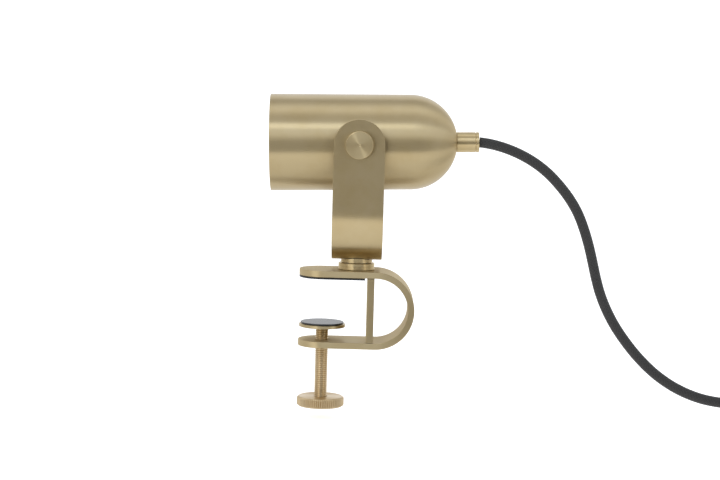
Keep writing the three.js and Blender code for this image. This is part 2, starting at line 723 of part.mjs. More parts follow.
function switchShell(low, high) {
  const [length, width] = SWITCH_SIZE;
  const cavity = roundedRectangle(length - 16, width - 6, 4);
  const outline = roundedRectangle(length, width, 9);
  return slab(outline, low, high, "z", 5)
    .subtract(slab(cavity, -SWITCH_CAVITY_Z, SWITCH_CAVITY_Z, "z", 3))
    .subtract(drillAlongX(CORD_R + GAP));
}

function addSwitch(group) {
  const [length, width, height] = SWITCH_SIZE;
  const [middle, half, seam] = [length / 2, height / 2, GAP / 2];
  let lower = switchShell(-half, -seam);
  const window = box([-9, -5.6, 2], [9, 5.6, half + 1]);
  const pinHole = turned(rod(1 + GAP, -7.9, 7.9), HOLE_SIDES).rotate([90, 0, 0]);
  let upper = switchShell(seam, half).subtract(window);
  upper = upper.subtract(pinHole.translate([0, 0, ROCKER_Z]));
  const wellProfile = [
    [0, -half - 1], [2.8, -half - 1], [2.8, -half + 2.6], [1.6, -half + 2.6], [1.6, 6], [0, 6],
  ];
  const screwProfile = [
    [0, -half + 0.6], [2.5, -half + 0.6], [2.5, -half + 2.3], [1.3, -half + 2.3], [1.3, 5], [0, 5],
  ];
  const [screwX, screwY] = [middle - 4.6, width / 2 - 6.1];
  [["front", -screwX, -screwY], ["back", screwX, screwY]].forEach(([name, x, y]) => {
    const well = turned(wellProfile, HOLE_SIDES).translate([x, y, 0]);
    lower = lower.subtract(well);
    upper = upper.subtract(well);
    const screw = turned(screwProfile, HOLE_SIDES).translate([x, y, 0]);
    add(group, `switch_screw_${name}`, screw, STEEL).position.x = middle;
  });
  add(group, "switch_lower", lower, PLASTIC).position.x = middle;
  add(group, "switch_upper", upper, PLASTIC).position.x = middle;
  const pin = turned(rod(1, -7.6, 7.6), HOLE_SIDES).rotate([90, 0, 0]);
  add(group, "rocker_pin", pin, STEEL).position.set(middle, 0, ROCKER_Z);
  const contact = box([-12, -4, -5.8], [12, 4, -5.2]).add(box([-1, -4, -5.5], [1, 4, -4.2]));
  add(group, "switch_contact", contact, TURNED_BRASS).position.x = middle;
}

function rocker() {
  const side = new THREE.Shape();
  const points = [
    [-7.8, -1], [-2.2, -3.6], [2.2, -3.6], [7.8, -1], [7.8, 5.6], [0, 4.6], [-7.8, 5.6],
  ];
  points.forEach(([x, z], i) => (i ? side.lineTo(x, z) : side.moveTo(x, z)));
  return slab(side, -5.2, 5.2, "y").subtract(drillAlongY(1 + GAP)).rotate([0, ROCKER_TILT, 0]);
}

// ---- the lamp ----
const lamp = new THREE.Group();
addClamp(lamp);
addPressurePad(lamp);
addScrew(lamp);

const swivel = new THREE.Group();
swivel.position.x = SWIVEL_X;
lamp.add(swivel);
addSwivelBase(swivel);
addSwivelBoss(swivel);
add(swivel, "u_bracket", uBracket(), BRASS);

const head = new THREE.Group();
head.position.z = PIVOT_Z;
head.rotation.y = -HEAD_TILT;
swivel.add(head);
addHead(head);

addCord(lamp);

const inlineSwitch = new THREE.Group();
inlineSwitch.position.set(...SWITCH_START, SWITCH_Z);
inlineSwitch.rotation.z = SWITCH_TURN;
lamp.add(inlineSwitch);
addSwitch(inlineSwitch);
const rockerPlace = [SWITCH_SIZE[0] / 2, 0, ROCKER_Z];
add(inlineSwitch, "switch_rocker", rocker(), PLASTIC).position.set(...rockerPlace);

const plug = new THREE.Group();
plug.position.set(...PLUG_START, PLUG_Z);
plug.rotation.z = PLUG_TURN;
lamp.add(plug);
addPlug(plug);

export default lamp;
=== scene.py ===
import json
import math

import bmesh
import bpy
import numpy as np
from mathutils import Matrix, Vector

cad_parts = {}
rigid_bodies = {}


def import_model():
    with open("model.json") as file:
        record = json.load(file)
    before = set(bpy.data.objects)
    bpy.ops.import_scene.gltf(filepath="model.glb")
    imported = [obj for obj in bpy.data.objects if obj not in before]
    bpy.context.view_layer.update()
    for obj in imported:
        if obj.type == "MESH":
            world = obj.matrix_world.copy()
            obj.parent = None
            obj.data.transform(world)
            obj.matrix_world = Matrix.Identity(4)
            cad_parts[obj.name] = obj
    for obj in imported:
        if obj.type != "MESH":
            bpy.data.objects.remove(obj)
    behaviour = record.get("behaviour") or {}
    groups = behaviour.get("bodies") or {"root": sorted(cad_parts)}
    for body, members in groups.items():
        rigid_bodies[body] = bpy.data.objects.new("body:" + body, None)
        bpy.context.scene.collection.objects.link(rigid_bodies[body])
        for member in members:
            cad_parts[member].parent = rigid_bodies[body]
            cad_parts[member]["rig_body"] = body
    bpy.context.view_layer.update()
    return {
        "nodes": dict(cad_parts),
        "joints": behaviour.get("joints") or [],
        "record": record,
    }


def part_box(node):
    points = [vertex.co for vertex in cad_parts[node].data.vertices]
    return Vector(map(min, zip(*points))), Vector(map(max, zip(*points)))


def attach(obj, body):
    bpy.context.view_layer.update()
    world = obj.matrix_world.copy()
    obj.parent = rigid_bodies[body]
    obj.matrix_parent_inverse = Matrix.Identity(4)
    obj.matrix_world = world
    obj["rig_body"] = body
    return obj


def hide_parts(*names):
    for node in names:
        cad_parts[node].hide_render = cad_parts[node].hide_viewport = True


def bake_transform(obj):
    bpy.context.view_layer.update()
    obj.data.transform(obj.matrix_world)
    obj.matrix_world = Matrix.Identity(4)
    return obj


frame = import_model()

MM = 0.001
SLOT_OF = {part["node"]: part["material_slot"] for part in frame["record"]["subparts"]}
JOINTS = {joint["name"]: joint for joint in frame["joints"]}


def box(node):
    """A node's lowest and highest corner, in millimetres."""
    low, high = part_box(node)
    return np.array(low) / MM, np.array(high) / MM


# ---- sizes that the whole lamp shares, in millimetres ----
# A name that ends in U is a distance along the shade's own axis, from the pivot towards the cord.
GAP = 0.3
STRAP_LOW, STRAP_HIGH = box("clamp_strap")
BRACKET_LOW, BRACKET_HIGH = box("u_bracket")
FLOOR_Z = box("clamp_knob")[0][2]  # the cord lies level with the underside of the knob
PIVOT = np.array(JOINTS["head_tilt"]["pos_m"]) / MM
SWIVEL_X = PIVOT[0]
BAR = 4
BRACKET_WALL = 2
BRACKET_OUTER_R = BRACKET_HIGH[1]
BOLT_R = 3
HEAD_TILT = 1.5
SHADE_WALL = 1
MOUTH_U = -55.1
MOUTH_R = 30
DOME_U = 31.25
DOME_R = 29.45
GLAND_R = 6.3
GLAND_U = (60.2, 74)
GLAND_THREAD_R = 4.8
PIVOT_SHANK_R = 2.5
CORD_R = 3.2
SPINDLE_R = 4
PITCH = 1.25
RIVET_R = 2.2
BULB_FRONT_U = -47
BULB_R = 25
BULB_NECK_U = -13
PIN_SPREAD = 5
REACH = 60  # past any piece that is drilled through
SHARP = math.radians(38)  # a sharper edge than this is softened, or shaded as an edge


# ---- places ----
def at(x=0, y=0, z=0):
    return Matrix.Translation((x * MM, y * MM, z * MM))


def turn(axis, degrees):
    return Matrix.Rotation(math.radians(degrees), 4, axis)


ALONG_X = turn("Y", 90)
TO_FRONT = turn("X", 90)
TO_BACK = turn("X", -90)
HEAD = at(*PIVOT) @ turn("Y", -HEAD_TILT)
SWIVEL = at(SWIVEL_X)


# ---- camera ----
def make_camera():
    camera = bpy.data.objects.new("camera", bpy.data.cameras.new("camera"))
    bpy.context.scene.collection.objects.link(camera)
    camera.data.sensor_width = 36
    camera.data.lens = 100.66
    pitch_down = 5.9
    roll = 1.55
    camera.matrix_world = at(22.3, -1250, 152.8) @ turn("X", 90 - pitch_down) @ turn("Z", roll)
    bpy.context.scene.camera = camera


# ---- outlines ----
def fillet(points, radius, steps=3, closed=True):
    """Rounds the corners of an outline, except its open ends and corners on the axis."""
    made = []
    count = len(points)
    for i, corner in enumerate(points):
        if corner[0] == 0 or (not closed and i in (0, count - 1)):
            made.append(tuple(corner))
            continue
        here = np.array(corner, float)
        back = np.array(points[i - 1], float) - here
        ahead = np.array(points[(i + 1) % count], float) - here
        lengths = np.linalg.norm(back), np.linalg.norm(ahead)
        back, ahead = back / lengths[0], ahead / lengths[1]
        half = math.acos(max(-1, min(1, back @ ahead))) / 2
        if half > math.radians(86):
            made.append(tuple(corner))
            continue
        reach = min(radius / math.tan(half), 0.45 * min(lengths))
        arc = reach * math.tan(half)
        middle = here + (back + ahead) / np.linalg.norm(back + ahead) * arc / math.sin(half)
        first, last = here + back * reach - middle, here + ahead * reach - middle
        start = math.atan2(first[1], first[0])
        sweep = (math.atan2(last[1], last[0]) - start + math.pi) % (2 * math.pi) - math.pi
        for k in range(steps + 1):
            angle = start + sweep * k / steps
            made.append((middle[0] + arc * math.cos(angle), middle[1] + arc * math.sin(angle)))
    return made


def arc_points(centre, radius, start, end, steps):
    """Points on an arc, angles in degrees."""
    angles = np.radians(np.linspace(start, end, steps + 1))
    return [(centre[0] + radius * math.cos(a), centre[1] + radius * math.sin(a)) for a in angles]


def rounded_rectangle(width, height, radius, steps=8):
    x, y = width / 2, height / 2
    return fillet([(x, y), (-x, y), (-x, -y), (x, -y)], radius, steps)


# ---- solids, as bmeshes in millimetres ----
def ring_at(bm, z, radii):
    """Vertices spaced evenly round the Z axis at one height, each at its own radius."""
    angles = [2 * math.pi * i / len(radii) for i in range(len(radii))]
    return [bm.verts.new((r * math.cos(a), r * math.sin(a), z)) for r, a in zip(radii, angles)]


def skin(bm, lower, upper):
    """Faces between two rings of vertices, which may share a point."""
    count = len(lower)
    for i in range(count):
        j = (i + 1) % count
        corners = list(dict.fromkeys([lower[i], lower[j], upper[j], upper[i]]))
        if len(corners) > 2:
            bm.faces.new(corners)


def lathe(profile, segments=96):
    """A [radius, height] profile turned about Z. It starts and ends on the axis, or closes on itself."""
    bm = bmesh.new()
    rings = []
    for r, h in profile:
        if r < 1e-6:
            rings.append([bm.verts.new((0, 0, h))] * segments)
        else:
            rings.append(ring_at(bm, h, [r] * segments))
    for lower, upper in zip(rings, rings[1:]):
        skin(bm, lower, upper)
    if profile[0][0] > 1e-6:
        skin(bm, rings[-1], rings[0])
    return bm


def loft(rings):
    """A closed skin over rings of points with the same count, capped at both ends."""
    bm = bmesh.new()
    made = [[bm.verts.new(point) for point in ring] for ring in rings]
    for lower, upper in zip(made, made[1:]):
        skin(bm, lower, upper)
    bm.faces.new(made[0][::-1])
    bm.faces.new(made[-1])
    return bm


def slab(outline, low, high):
    return loft([[(x, y, z) for x, y in outline] for z in (low, high)])


def soften(bm, width, segments=2):
    """Rounds the sharp edges a little."""
    bmesh.ops.recalc_face_normals(bm, faces=bm.faces)
    edges = [e for e in bm.edges if len(e.link_faces) == 2 and e.calc_face_angle(0) > SHARP]
    bmesh.ops.bevel(
        bm, geom=edges, offset=width, segments=segments, profile=0.5, affect="EDGES", clamp_overlap=True
    )
    return bm


def moved(bm, matrix):
    """The solid moved by a matrix in millimetres."""
    bmesh.ops.transform(bm, matrix=matrix, verts=bm.verts)
    return bm


def shift(x=0, y=0, z=0):
    return Matrix.Translation((x, y, z))


def scratch_object(bm):
    bmesh.ops.recalc_face_normals(bm, faces=bm.faces)
    mesh = bpy.data.meshes.new("scratch")
    bm.to_mesh(mesh)
    bm.free()
    obj = bpy.data.objects.new("scratch", mesh)
    bpy.context.scene.collection.objects.link(obj)
    return obj


def cut(bm, *cutters, operation="DIFFERENCE"):
    """Takes other solids away from a solid, or with UNION adds them to it."""
    target = scratch_object(bm)
    tools = [scratch_object(cutter) for cutter in cutters]
    for tool in tools:
        modifier = target.modifiers.new("cut", "BOOLEAN")
        modifier.operation = operation
        modifier.solver = "EXACT"
        modifier.object = tool
    result = bmesh.new()
    result.from_object(target, bpy.context.evaluated_depsgraph_get())
    for obj in (target, *tools):
        bpy.data.objects.remove(obj)
    return result


def joined(*solids):
    """Several separate solids in one mesh."""
    mesh = bpy.data.meshes.new("joined")
    result = bmesh.new()
    for solid in solids:
        solid.to_mesh(mesh)
        solid.free()
        result.from_mesh(mesh)
    bpy.data.meshes.remove(mesh)
    return result


def piece(name, bm, look, *nodes, place=None):
    """Makes an object that stands for the CAD nodes, with the body of the first one."""
    bmesh.ops.remove_doubles(bm, verts=bm.verts, dist=1e-4)
    bmesh.ops.recalc_face_normals(bm, faces=bm.faces)
    for face in bm.faces:
        face.smooth = True
    for edge in bm.edges:
        edge.smooth = len(edge.link_faces) == 2 and edge.calc_face_angle(0) < SHARP
    bmesh.ops.scale(bm, vec=(MM, MM, MM), verts=bm.verts)
    mesh = bpy.data.meshes.new(name)
    bm.to_mesh(mesh)
    bm.free()
    mesh.materials.append(look)
    obj = bpy.data.objects.new(name, mesh)
    bpy.context.scene.collection.objects.link(obj)
    obj.modifiers.new("even shading", "WEIGHTED_NORMAL").keep_sharp = True
    obj.matrix_world = place or Matrix()
    if nodes:
        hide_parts(*nodes)
        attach(obj, frame["nodes"][nodes[0]]["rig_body"])
    return obj


# ---- materials ----
def srgb(r, g, b):
    """A colour given as 0 to 255, in the linear values that a shader takes."""
    linear = [((c / 255 + 0.055) / 1.055) ** 2.4 if c > 10 else c / 255 / 12.92 for c in (r, g, b)]
    return (*linear, 1)


class Look:
    """One material: a Principled shader, and short calls for the nodes that drive it."""

    def __init__(self, name, **sockets):
        self.material = bpy.data.materials.new(name)
        self.material.use_nodes = True
        self.tree = self.material.node_tree
        self.shader = self.tree.nodes["Principled BSDF"]
        for socket, value in sockets.items():
            self.shader.inputs[socket.replace("_", " ")].default_value = value

    def node(self, kind, inputs=(), **settings):
        made = self.tree.nodes.new(kind)
        for name, value in settings.items():
            setattr(made, name, value)
        for name, value in dict(inputs).items():
            self.feed(value, made.inputs[name])
        return made

    def feed(self, value, socket):
        if isinstance(value, bpy.types.NodeSocket):
            self.tree.links.new(value, socket)
        else:
            socket.default_value = value

    def math(self, operation, a, b=0.0):
        return self.node("ShaderNodeMath", {0: a, 1: b}, operation=operation).outputs[0]

    def noise(self, vector, scale, detail=2.0, roughness=0.5):
        inputs = {"Vector": vector, "Scale": scale, "Detail": detail, "Roughness": roughness}
        return self.node("ShaderNodeTexNoise", inputs).outputs["Fac"]

    def range(self, value, low, high, start=0.0, end=1.0):
        inputs = {"Value": value, "From Min": start, "From Max": end, "To Min": low, "To Max": high}
        return self.node("ShaderNodeMapRange", inputs).outputs["Result"]

    def mix(self, share, a, b):
        made = self.node("ShaderNodeMix", {"Factor": share}, data_type="RGBA")
        self.feed(a, made.inputs["A"])
        self.feed(b, made.inputs["B"])
        return next(o for o in made.outputs if o.type == "RGBA")

    def bump(self, height, distance, strength=1.0):
        inputs = {"Height": height, "Distance": distance, "Strength": strength}
        bump = self.node("ShaderNodeBump", inputs)
        self.feed(bump.outputs["Normal"], self.shader.inputs["Normal"])

    def drive(self, socket, value):
        self.feed(value, self.shader.inputs[socket])

    def place(self):
        """The point in the piece's own frame, in metres."""
        return self.node("ShaderNodeTexCoord").outputs["Object"]


def metal_colour(look, colour, tarnish, spread=0.5):
    """Base colour with a soft, uneven tarnish."""
    patches = look.noise(look.place(), 55, 3, 0.6)
    share = look.range(patches, 0, spread, 0.4, 0.75)
    look.drive("Base Color", look.mix(share, colour, tarnish))


def turned_metal(name, colour, tarnish, roughness, anisotropy, lines=2.2, depth=0.012):
    """Metal with fine marks that run round its local Z axis, from spinning or turning."""
    look = Look(name, Metallic=1.0, Anisotropic=anisotropy, Anisotropic_Rotation=0.25)
    tangent = look.node("ShaderNodeTangent", direction_type="RADIAL", axis="Z")
    look.drive("Tangent", tangent.outputs["Tangent"])
    metal_colour(look, colour, tarnish)
    split = look.node("ShaderNodeSeparateXYZ", {"Vector": look.place()})
    across = look.node(
        "ShaderNodeCombineXYZ", {"X": split.outputs["X"], "Y": split.outputs["Y"]}
    ).outputs["Vector"]
    radius = look.node("ShaderNodeVectorMath", {0: across}, operation="LENGTH").outputs["Value"]
    track = look.node("ShaderNodeCombineXYZ", {"X": radius, "Y": split.outputs["Z"]}).outputs["Vector"]
    marks = look.noise(track, lines / MM, 4, 0.7)
    fine = look.noise(look.place(), 900, 2, 0.6)
    wear = look.math("ADD", look.range(marks, -0.04, 0.04), look.range(fine, -0.01, 0.01))
    look.drive("Roughness", look.math("ADD", wear, roughness))
    look.bump(marks, depth * MM)
    return look.material


def brushed_metal(name, colour, tarnish, roughness, anisotropy, depth=0.01):
    """Metal with straight marks that run along V of the brush layout, laid out in millimetres."""
    look = Look(name, Metallic=1.0, Anisotropic=anisotropy)
    tangent = look.node("ShaderNodeTangent", direction_type="UV_MAP", uv_map="brush")
    look.drive("Tangent", tangent.outputs["Tangent"])
    metal_colour(look, colour, tarnish)
    layout = look.node("ShaderNodeUVMap", uv_map="brush").outputs["UV"]
    stretched = look.node(
        "ShaderNodeVectorMath", {0: layout, 1: (2.4, 0.07, 1)}, operation="MULTIPLY"
    ).outputs["Vector"]
    marks = look.noise(stretched, 1.0, 5, 0.75)
    look.drive("Roughness", look.math("ADD", look.range(marks, -0.06, 0.06), roughness))
    look.bump(marks, depth * MM)
    return look.material


def moulded(name, colour, roughness, grain=0.004, scale=2600, tint=1.25, **sockets):
    """Rubber, plastic or ceramic with a fine surface grain."""
    look = Look(name, **sockets)
    patches = look.noise(look.place(), 120, 3, 0.6)
    light = tuple(min(1, c * tint) for c in colour[:3]) + (1,)
    look.drive("Base Color", look.mix(look.range(patches, 0, 1, 0.35, 0.7), colour, light))
    pits = look.noise(look.place(), scale, 3, 0.6)
    look.drive("Roughness", look.math("ADD", look.range(pits, -0.05, 0.05), roughness))
    look.bump(pits, grain * MM)
    return look.material


def braid_material():
    """A braided sleeve: strands wind both ways round the cord and pass over and under by turns."""
    strands, crossings_a_mm = 10.0, 0.5
    look = Look("braided sleeve", Roughness=0.85, Sheen_Weight=0.15, Sheen_Roughness=0.4)
    layout = look.node("ShaderNodeUVMap", uv_map="sleeve").outputs["UV"]
    split = look.node("ShaderNodeSeparateXYZ", {"Vector": layout})
    round_it = look.math("MULTIPLY", split.outputs["X"], strands)
    along = look.math("MULTIPLY", split.outputs["Y"], crossings_a_mm)
    left = look.math("ADD", round_it, along)
    right = look.math("SUBTRACT", round_it, along)
    crossing = look.math("ADD", look.math("FLOOR", left), look.math("FLOOR", right))
    keep_positive = 400.0
    shifted = look.math("ADD", crossing, keep_positive)
    over = look.math("LESS_THAN", look.math("MODULO", shifted, 2.0), 0.5)
    ridges = []
    for line in (left, right):
        share = look.math("FRACT", line)
        hump = look.math("SINE", look.math("MULTIPLY", share, math.pi))
        threads = look.math("ABSOLUTE", look.math("SINE", look.math("MULTIPLY", share, 3 * math.pi)))
        ridges.append(look.math("ADD", hump, look.math("MULTIPLY", threads, 0.25)))
    under = look.math("SUBTRACT", 1.0, over)
    height = look.math(
        "ADD", look.math("MULTIPLY", ridges[0], over), look.math("MULTIPLY", ridges[1], under)
    )
    fuzz = look.noise(look.place(), 2500, 3, 0.6)
    # Painted shade: the base colour is darker in the grooves between strands and lighter on their crowns,
    # with random fuzz in the tone on top.
    groove_shade_and_fuzz = look.math("ADD", look.range(height, 0, 0.75, 0, 1.2), look.range(fuzz, 0, 0.25))
    look.drive("Base Color", look.mix(groove_shade_and_fuzz, srgb(14, 14, 14), srgb(62, 61, 60)))
    look.bump(look.math("ADD", height, look.math("MULTIPLY", fuzz, 0.3)), 0.22 * MM)
    return look.material


def glass_material():
    look = Look("lamp glass", Roughness=0.06, Transmission_Weight=1.0, IOR=1.47)
    ripple = look.noise(look.place(), 300, 2, 0.5)
    look.drive("Base Color", look.mix(ripple, (0.93, 0.95, 0.96, 1), (0.98, 0.99, 1, 1)))
    look.bump(ripple, 0.02 * MM)
    return look.material


BRASS = srgb(204, 186, 146)
BRASS_TARNISH = srgb(192, 170, 124)
TURNED = srgb(214, 195, 152)
TURNED_TARNISH = srgb(193, 168, 120)
BRONZE = srgb(210, 188, 150)
BRONZE_TARNISH = srgb(192, 166, 124)


def make_looks():
    return {
        "brushed_brass": brushed_metal("brushed brass", BRASS, BRASS_TARNISH, 0.4, 0.9),
        "spun_brass": turned_metal("spun brass", BRASS, BRASS_TARNISH, 0.4, 1.0, 1.1, 0.002),
        "turned_brass": turned_metal("turned brass", TURNED, TURNED_TARNISH, 0.36, 1.0, 1.2, 0.0012),
        "screw_bronze": turned_metal("turned bronze", BRONZE, BRONZE_TARNISH, 0.34, 0.9, 1.2, 0.0008),
        "steel": turned_metal("zinc steel", srgb(196, 198, 200), srgb(170, 171, 172), 0.32, 0.5),
        "plug_metal": turned_metal("nickel", srgb(215, 213, 208), srgb(190, 188, 182), 0.22, 0.4),
        "bulb_mirror": turned_metal(
            "aluminised glass", srgb(230, 232, 235), srgb(214, 216, 220), 0.12, 0.2
        ),
        "bulb_glass": glass_material(),
        "rubber": moulded("sheet rubber", srgb(40, 40, 41), 0.24, 0.002, 1500),
        "tie_rubber": moulded("band rubber", srgb(46, 46, 47), 0.6, 0.01, 1500),
        "nylon": moulded("nylon", srgb(226, 222, 208), 0.45, 0.003, 2000, 1.05),
        "ceramic": moulded("glazed ceramic", srgb(236, 232, 222), 0.25, 0.004, 900, 1.04),
        "black_plastic": moulded("black plastic", srgb(34, 34, 36), 0.42, 0.01, 2200),
        "brown_wire": moulded("brown insulation", srgb(98, 56, 34), 0.45),
        "blue_wire": moulded("blue insulation", srgb(42, 92, 160), 0.45),
        "braid": braid_material(),
    }


# ---- cord ----
# The routes repeat the CAD's, in millimetres. The lead's points down to Z -25.3 follow the cord as it was
# measured on the photograph. All the later points are chosen.
CORD_STEP = 2.5
CORD_SIDES = 20
LEAD_ROUTE = [
    (94.8, 0, 86.6), (99.2, 0, 86.1), (106.7, 0, 84.6), (114.2, 0, 82.3), (121.8, 0, 79.1),
    (129.4, 0, 74.9), (137.1, 0, 69.3), (144.8, 0, 61.8), (151.6, 0, 53.6), (157.3, 0, 44.5),
    (161.6, 0, 34.6), (164.9, 0, 24.7), (167.6, 0, 14.7), (170.1, 0, 4.7), (173.1, 0, -5.3),
    (177.3, 0, -15.3), (182.8, 0, -25.3), (190, -0.2, -35.5), (199, -0.7, -46), (210, -1.7, -56),
    (223, -3.2, -64.2), (238, -5.4, -69.8), (252, -8, -71.8), (261.7, -10, -72),
]
MIDDLE_ROUTE = [(321, -22.6, -72), (329, -24.3, -72.9), (337, -26, -74.2), (344.4, -27.5, -75.4)]
TO_COIL = [(353.2, -29.6, -76.5)]
FROM_COIL = [(355, 51.6, -71), (347.3, 48.7, -72.2)]
TAIL_ROUTE = [(339.2, 45.8, -73.6), (337, 45, -74.3), (334.8, 44.2, -74.5)]
PLUG_START = (334.3, 44)
PLUG_TURN = 200
PLUG_Z = -74.5
COIL_CENTRE = (379, 11.7)
COIL_MEAN_R = 35
COIL_TURNS_A_LAYER = 3.3
COIL_START = 258
COIL_END = 110 + 7 * 360
COIL_POINTS_A_TURN = 16


def coil_points():
    """Two flat spirals, one on the other: inwards along the floor, then outwards on top."""
    low, high = box("cord_coil")
    outer = COIL_MEAN_R + COIL_TURNS_A_LAYER * CORD_R
    half_way = (COIL_START + COIL_END) / 2
    layers = low[2] + CORD_R, high[2] - CORD_R
    count = round((COIL_END - COIL_START) / 360 * COIL_POINTS_A_TURN)
    climb = 90
    points = []
    for degrees in np.linspace(COIL_START, COIL_END, count):
        turns_from_middle = abs(degrees - half_way) / 360
        radius = outer - 2 * CORD_R * (COIL_TURNS_A_LAYER - turns_from_middle)
        share = min(1, max(0, (degrees - half_way) / climb + 0.5))
        z = layers[0] + (layers[1] - layers[0]) * share * share * (3 - 2 * share)
        angle = math.radians(degrees)
        x, y = COIL_CENTRE[0] + radius * math.cos(angle), COIL_CENTRE[1] + radius * math.sin(angle)
        points.append((x, y, z))
    return points


def smooth_line(points, step):
    """Points about a step apart on a smooth curve through the given ones."""
    points = np.array(points, float)
    gaps = np.linalg.norm(np.diff(points, axis=0), axis=1)
    travel = np.concatenate([[0], np.cumsum(gaps)])
    slopes = np.gradient(points, travel, axis=0)
    asked = np.linspace(0, travel[-1], round(travel[-1] / step) + 1)
    i = np.clip(np.searchsorted(travel, asked, "right") - 1, 0, len(gaps) - 1)
    t = ((asked - travel[i]) / gaps[i])[:, None]
    span = gaps[i][:, None]
    return (
        (2 * t**3 - 3 * t**2 + 1) * points[i]
        + (t**3 - 2 * t**2 + t) * span * slopes[i]
        + (3 * t**2 - 2 * t**3) * points[i + 1]
        + (t**3 - t**2) * span * slopes[i + 1]
    )


def tube(line, radius, sides):
    """A round tube along a line, with a layout of turns round it and millimetres along it."""
    bm = bmesh.new()
    layout = bm.loops.layers.uv.new("sleeve")
    tangents = np.gradient(line, axis=0)
    tangents /= np.linalg.norm(tangents, axis=1)[:, None]
    side = np.array([0, 1, 0.0])
    rings = []
    for point, tangent in zip(line, tangents):
        side = side - tangent * (side @ tangent)
        side /= np.linalg.norm(side)
        up = np.cross(tangent, side)
        angles = 2 * math.pi * np.arange(sides) / sides
        ring = [point + radius * (math.cos(a) * side + math.sin(a) * up) for a in angles]
        rings.append([bm.verts.new(p) for p in ring])
    travel = np.concatenate([[0], np.cumsum(np.linalg.norm(np.diff(line, axis=0), axis=1))])
    for k, (lower, upper) in enumerate(zip(rings, rings[1:])):
        for i in range(sides):
            j = (i + 1) % sides
            face = bm.faces.new([lower[i], lower[j], upper[j], upper[i]])
            corners = [(i, k), (i + 1, k), (i + 1, k + 1), (i, k + 1)]
            for loop, (turn_of, ring_of) in zip(face.loops, corners):
                loop[layout].uv = (turn_of / sides, travel[ring_of])
    bm.faces.new(rings[0][::-1])
    bm.faces.new(rings[-1])
    return bm


def make_cord(looks):
    heading = math.radians(PLUG_TURN)
    x, y = PLUG_START
    into_plug = [(x + d * math.cos(heading), y + d * math.sin(heading), PLUG_Z) for d in (6, 14)]
    to_plug = [*FROM_COIL, *TAIL_ROUTE, *into_plug]
    route = [*LEAD_ROUTE, *MIDDLE_ROUTE, *TO_COIL, *coil_points(), *to_plug]
    line = smooth_line(route, CORD_STEP)
    cord = piece("braided_cord", tube(line, CORD_R, CORD_SIDES), looks["braid"])
    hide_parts("cord_lead", "cord_middle", "cord_coil", "cord_tail")
    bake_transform(cord)


# ---- bars bent to a U ----
def lay_brushing(bm, across, along):
    """Lays the brushing out in millimetres: U across the marks and V along them."""
    layout = bm.loops.layers.uv.new("brush")
    across, along = Vector(across), Vector(along)
    for face in bm.faces:
        for loop in face.loops:
            loop[layout].uv = (loop.vert.co.dot(across), loop.vert.co.dot(along))


def drill(radius, low=-REACH, high=REACH, segments=48):
    return lathe([(0, low), (radius, low), (radius, high), (0, high)], segments)


def u_bar(half, wall, arm, radius, cutters, edge=0.3, steps=48):
    """A flat bar with round ends, bent to a U about the origin, with its arms along -X."""
    bend = math.pi * radius
    length = 2 * arm + bend
    outline = arc_points((half, 0), half, 90, 270, 32) + arc_points((length - half, 0), half, -90, 90, 32)
    bm = soften(cut(slab(outline, -wall / 2, wall / 2), *cutters), edge)
    for k in range(steps + 1):
        geometry = bm.verts[:] + bm.edges[:] + bm.faces[:]
        row = (arm + bend * k / steps, 0, 0)
        bmesh.ops.bisect_plane(bm, geom=geometry, dist=1e-4, plane_co=row, plane_no=(1, 0, 0))
    lay_brushing(bm, (0, 1, 0.8), (1, 0, 0.5))
    for vert in bm.verts:
        s, width, out = vert.co
        angle = min(max(s - arm, 0), bend) / radius
        past = min(s - arm, 0) if s < arm + bend else arm + bend - s
        reach = radius + out
        vert.co = (reach * math.sin(angle) + past, width, reach * math.cos(angle))
    return bm


def make_strap(look):
    half = STRAP_HIGH[1]
    outer = (STRAP_HIGH[2] - STRAP_LOW[2]) / 2
    radius = outer - BAR / 2
    arm = STRAP_HIGH[0] - outer - STRAP_LOW[0]
    length = 2 * arm + math.pi * radius
    screw = moved(drill(SPINDLE_R + GAP), shift(length + STRAP_LOW[0]))
    inner = BAR / 2
    mouth, shank = 6.2, BOLT_R + GAP
    countersink = [
        (0, -inner - 1), (mouth, -inner - 1), (mouth, -inner), (shank, 1.2), (shank, 3), (0, 3),
    ]
    bolt = moved(lathe(countersink, 48), shift(SWIVEL_X - STRAP_LOW[0]))
    bar = u_bar(half, BAR, arm, radius, [screw, bolt], 0.35)
    middle = at(STRAP_HIGH[0] - outer, 0, (STRAP_HIGH[2] + STRAP_LOW[2]) / 2)
    piece("strap", bar, look, "clamp_strap", place=middle)


def make_bracket(look):
    half = (BRACKET_HIGH[0] - BRACKET_LOW[0]) / 2
    radius = BRACKET_OUTER_R - BRACKET_WALL / 2
    bend_z = BRACKET_LOW[2] + BRACKET_OUTER_R
    arm = BRACKET_HIGH[2] - bend_z
    length = 2 * arm + math.pi * radius
    shank = PIVOT_SHANK_R + GAP
    holes = ((half, shank), (length / 2, BOLT_R + GAP), (length - half, shank))
    cutters = [moved(drill(r), shift(s)) for s, r in holes]
    bar = u_bar(half, BRACKET_WALL, arm, radius, cutters, 0.25)
    upright = at(SWIVEL_X, 0, bend_z) @ Matrix(((0, -1, 0, 0), (0, 0, 1, 0), (-1, 0, 0, 0), (0, 0, 0, 1)))
    piece("bracket", bar, look, "u_bracket", place=upright)


# ---- clamp ----
def make_clamp_parts(looks):
    low, high = box("back_plate")
    size = high - low
    plate = slab([(0, 0), (size[0], 0), (size[0], size[1]), (0, size[1])], 0, size[2])
    soften(plate, 0.35)
    lay_brushing(plate, (1, 1, 0), (-0.3, 0.5, 1))
    piece("plate", plate, looks["brushed_brass"], "back_plate", place=at(*low))
    low, high = box("upper_jaw_pad")
    half = high[1]
    outline = arc_points((0, 0), half, 90, 270, 48) + [(high[0], -half), (high[0], half)]
    piece("jaw_pad", soften(slab(outline, low[2], high[2]), 0.12), looks["rubber"], "upper_jaw_pad")


